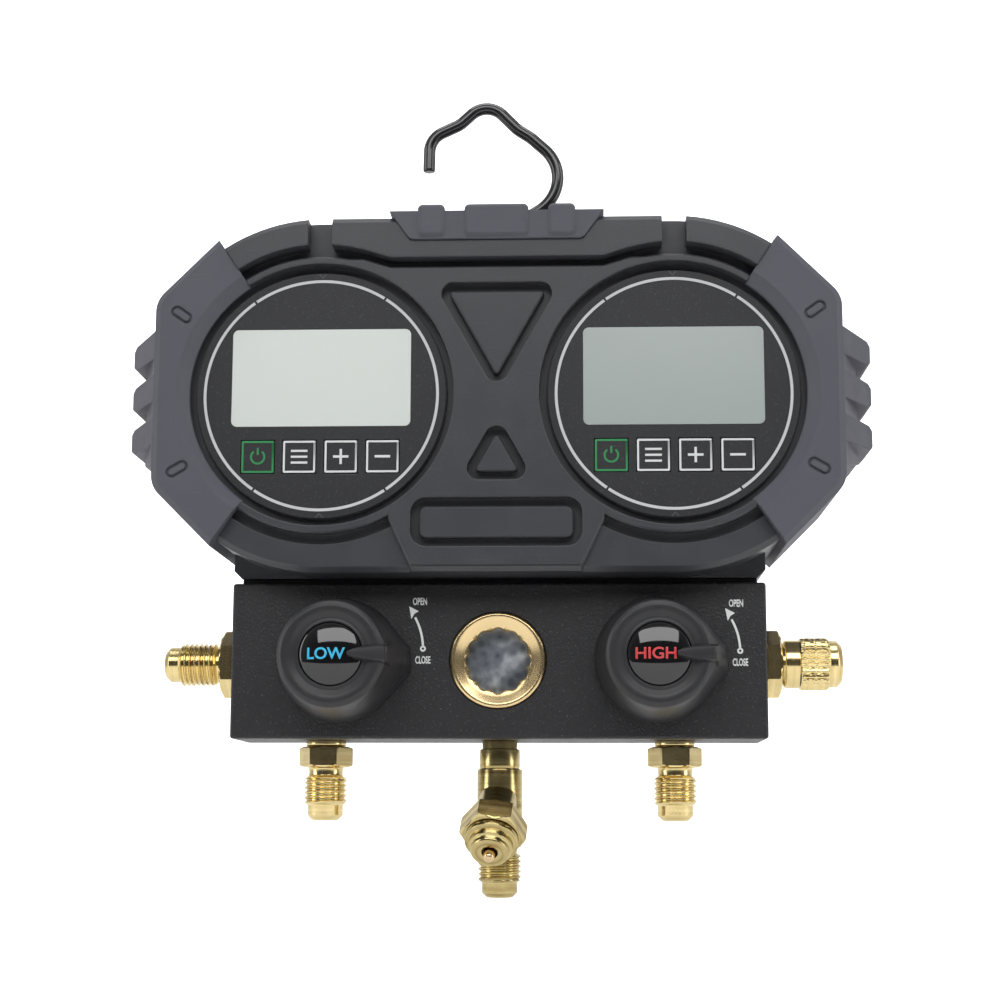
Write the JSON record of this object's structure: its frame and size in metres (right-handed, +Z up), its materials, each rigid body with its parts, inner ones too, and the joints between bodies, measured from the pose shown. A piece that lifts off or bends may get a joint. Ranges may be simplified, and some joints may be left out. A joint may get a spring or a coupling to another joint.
{
  "type": "refrigerant manifold gauge",
  "caption": "Digital manifold for refrigerant service: a rubber-ended housing with twin round displays on a valve block with flare ports, a sight glass and a swivel hook.",
  "frame": {"origin": "hang point: on the hook swivel axis, level with the underside of the crown of the hook", "axes": "X to the right as the user reads the displays, Y away from the user, Z up"},
  "size_m": [0.1924, 0.0573, 0.2116],
  "materials": {
    "housing_plastic": "fine moulded texture, charcoal",
    "bumper_rubber": "soft grey moulded rubber",
    "overlay_film": "fine textured printed film",
    "screen": "pale grey-green liquid crystal panel",
    "clear_window": "clear film window",
    "key_film": "film key with printed sign",
    "board": "green solder mask",
    "steel": "zinc plated steel",
    "black_wire": "black dipped steel wire",
    "block_coat": "black powder coat on aluminium",
    "brass": "machined brass",
    "seal_rubber": "nitrile rubber",
    "ptfe": "white PTFE",
    "knob_plastic": "black moulded knob",
    "cap_gloss": "glossy domed insert",
    "sight_lens": "thick sight glass",
    "cell_jacket": "plain battery sleeve"
  },
  "bodies": {
    "manifold": {"front_housing": "housing_plastic", "rear_cover": "housing_plastic", "left_bumper": "bumper_rubber", "right_bumper": "bumper_rubber", "top_grip": "bumper_rubber", "hook_collar": "steel", "block_gasket": "seal_rubber", "manifold_block": "block_coat", "sight_glass_ring": "brass", "sight_glass_lens": "sight_lens", "key_switches": "steel", "battery_cells": "cell_jacket", "valve_seats": "ptfe", "battery_cover_screws": "steel", "tee_body": "brass", "pin_spring": "steel", "housing_screws": "steel", "mount_screws": "steel", "low_dial_overlay": "overlay_film", "low_window": "clear_window", "low_lcd": "screen", "low_circuit_board": "board", "low_battery_cover": "housing_plastic", "low_pressure_sensor": "steel", "low_bonnet": "brass", "low_stem_ring": "seal_rubber", "low_side_port": "brass", "low_hose_port": "brass", "high_dial_overlay": "overlay_film", "high_window": "clear_window", "high_lcd": "screen", "high_circuit_board": "board", "high_battery_cover": "housing_plastic", "high_pressure_sensor": "steel", "high_bonnet": "brass", "high_stem_ring": "seal_rubber", "high_side_port": "brass", "high_hose_port": "brass"},
    "hook": {"hook": "black_wire", "hook_nut": "steel"},
    "seal": {"cap_seal": "seal_rubber"},
    "cap": {"flare_cap": "brass"},
    "access_pin": {"depressor_pin": "brass"},
    "low_valve": {"low_valve_stem": "brass", "low_knob": "knob_plastic", "low_knob_cap": "cap_gloss", "low_knob_screw": "steel"},
    "low_power_button": {"low_power_key": "key_film"},
    "low_menu_button": {"low_menu_key": "key_film"},
    "low_plus_button": {"low_plus_key": "key_film"},
    "low_minus_button": {"low_minus_key": "key_film"},
    "high_valve": {"high_valve_stem": "brass", "high_knob": "knob_plastic", "high_knob_cap": "cap_gloss", "high_knob_screw": "steel"},
    "high_power_button": {"high_power_key": "key_film"},
    "high_menu_button": {"high_menu_key": "key_film"},
    "high_plus_button": {"high_plus_key": "key_film"},
    "high_minus_button": {"high_minus_key": "key_film"}
  },
  "joints": [
    {"name": "hook_swivel", "type": "hinge", "parent": "manifold", "child": "hook", "pos_m": [0, 0, -0.03715], "axis": [0, 0, 1], "continuous": true},
    {"name": "low_valve_turn", "type": "hinge", "parent": "manifold", "child": "low_valve", "pos_m": [-0.04, 0, -0.14915], "axis": [0, -1, 0], "range_deg": [0, 90]},
    {"name": "high_valve_turn", "type": "hinge", "parent": "manifold", "child": "high_valve", "pos_m": [0.04, 0, -0.14915], "axis": [0, -1, 0], "range_deg": [0, 90]},
    {"name": "cap_travel", "type": "slide", "parent": "manifold", "child": "seal", "axis": [1, 0, 0], "range_m": [0, 0.0076]},
    {"name": "cap_turn", "type": "hinge", "parent": "seal", "child": "cap", "pos_m": [0.0678, 0, -0.14915], "axis": [1, 0, 0], "range_deg": [0, 2160]},
    {"name": "access_pin_press", "type": "slide", "parent": "manifold", "child": "access_pin", "axis": [0.0862, 0.7018, 0.7071], "range_m": [0, 0.0015], "stiffness_N_per_m": 1500, "springref_m": -0.0005, "deforming": ["pin_spring"]},
    {"name": "low_power_press", "type": "slide", "parent": "manifold", "child": "low_power_button", "axis": [0, 1, 0], "range_m": [0, 0.00025], "stiffness_N_per_m": 6000},
    {"name": "low_menu_press", "type": "slide", "parent": "manifold", "child": "low_menu_button", "axis": [0, 1, 0], "range_m": [0, 0.00025], "stiffness_N_per_m": 6000},
    {"name": "low_plus_press", "type": "slide", "parent": "manifold", "child": "low_plus_button", "axis": [0, 1, 0], "range_m": [0, 0.00025], "stiffness_N_per_m": 6000},
    {"name": "low_minus_press", "type": "slide", "parent": "manifold", "child": "low_minus_button", "axis": [0, 1, 0], "range_m": [0, 0.00025], "stiffness_N_per_m": 6000},
    {"name": "high_power_press", "type": "slide", "parent": "manifold", "child": "high_power_button", "axis": [0, 1, 0], "range_m": [0, 0.00025], "stiffness_N_per_m": 6000},
    {"name": "high_menu_press", "type": "slide", "parent": "manifold", "child": "high_menu_button", "axis": [0, 1, 0], "range_m": [0, 0.00025], "stiffness_N_per_m": 6000},
    {"name": "high_plus_press", "type": "slide", "parent": "manifold", "child": "high_plus_button", "axis": [0, 1, 0], "range_m": [0, 0.00025], "stiffness_N_per_m": 6000},
    {"name": "high_minus_press", "type": "slide", "parent": "manifold", "child": "high_minus_button", "axis": [0, 1, 0], "range_m": [0, 0.00025], "stiffness_N_per_m": 6000}
  ],
  "couplings": [
    {"joint": "cap_turn", "follows": "cap_travel", "rad_per_m": 4947.4}
  ]
}
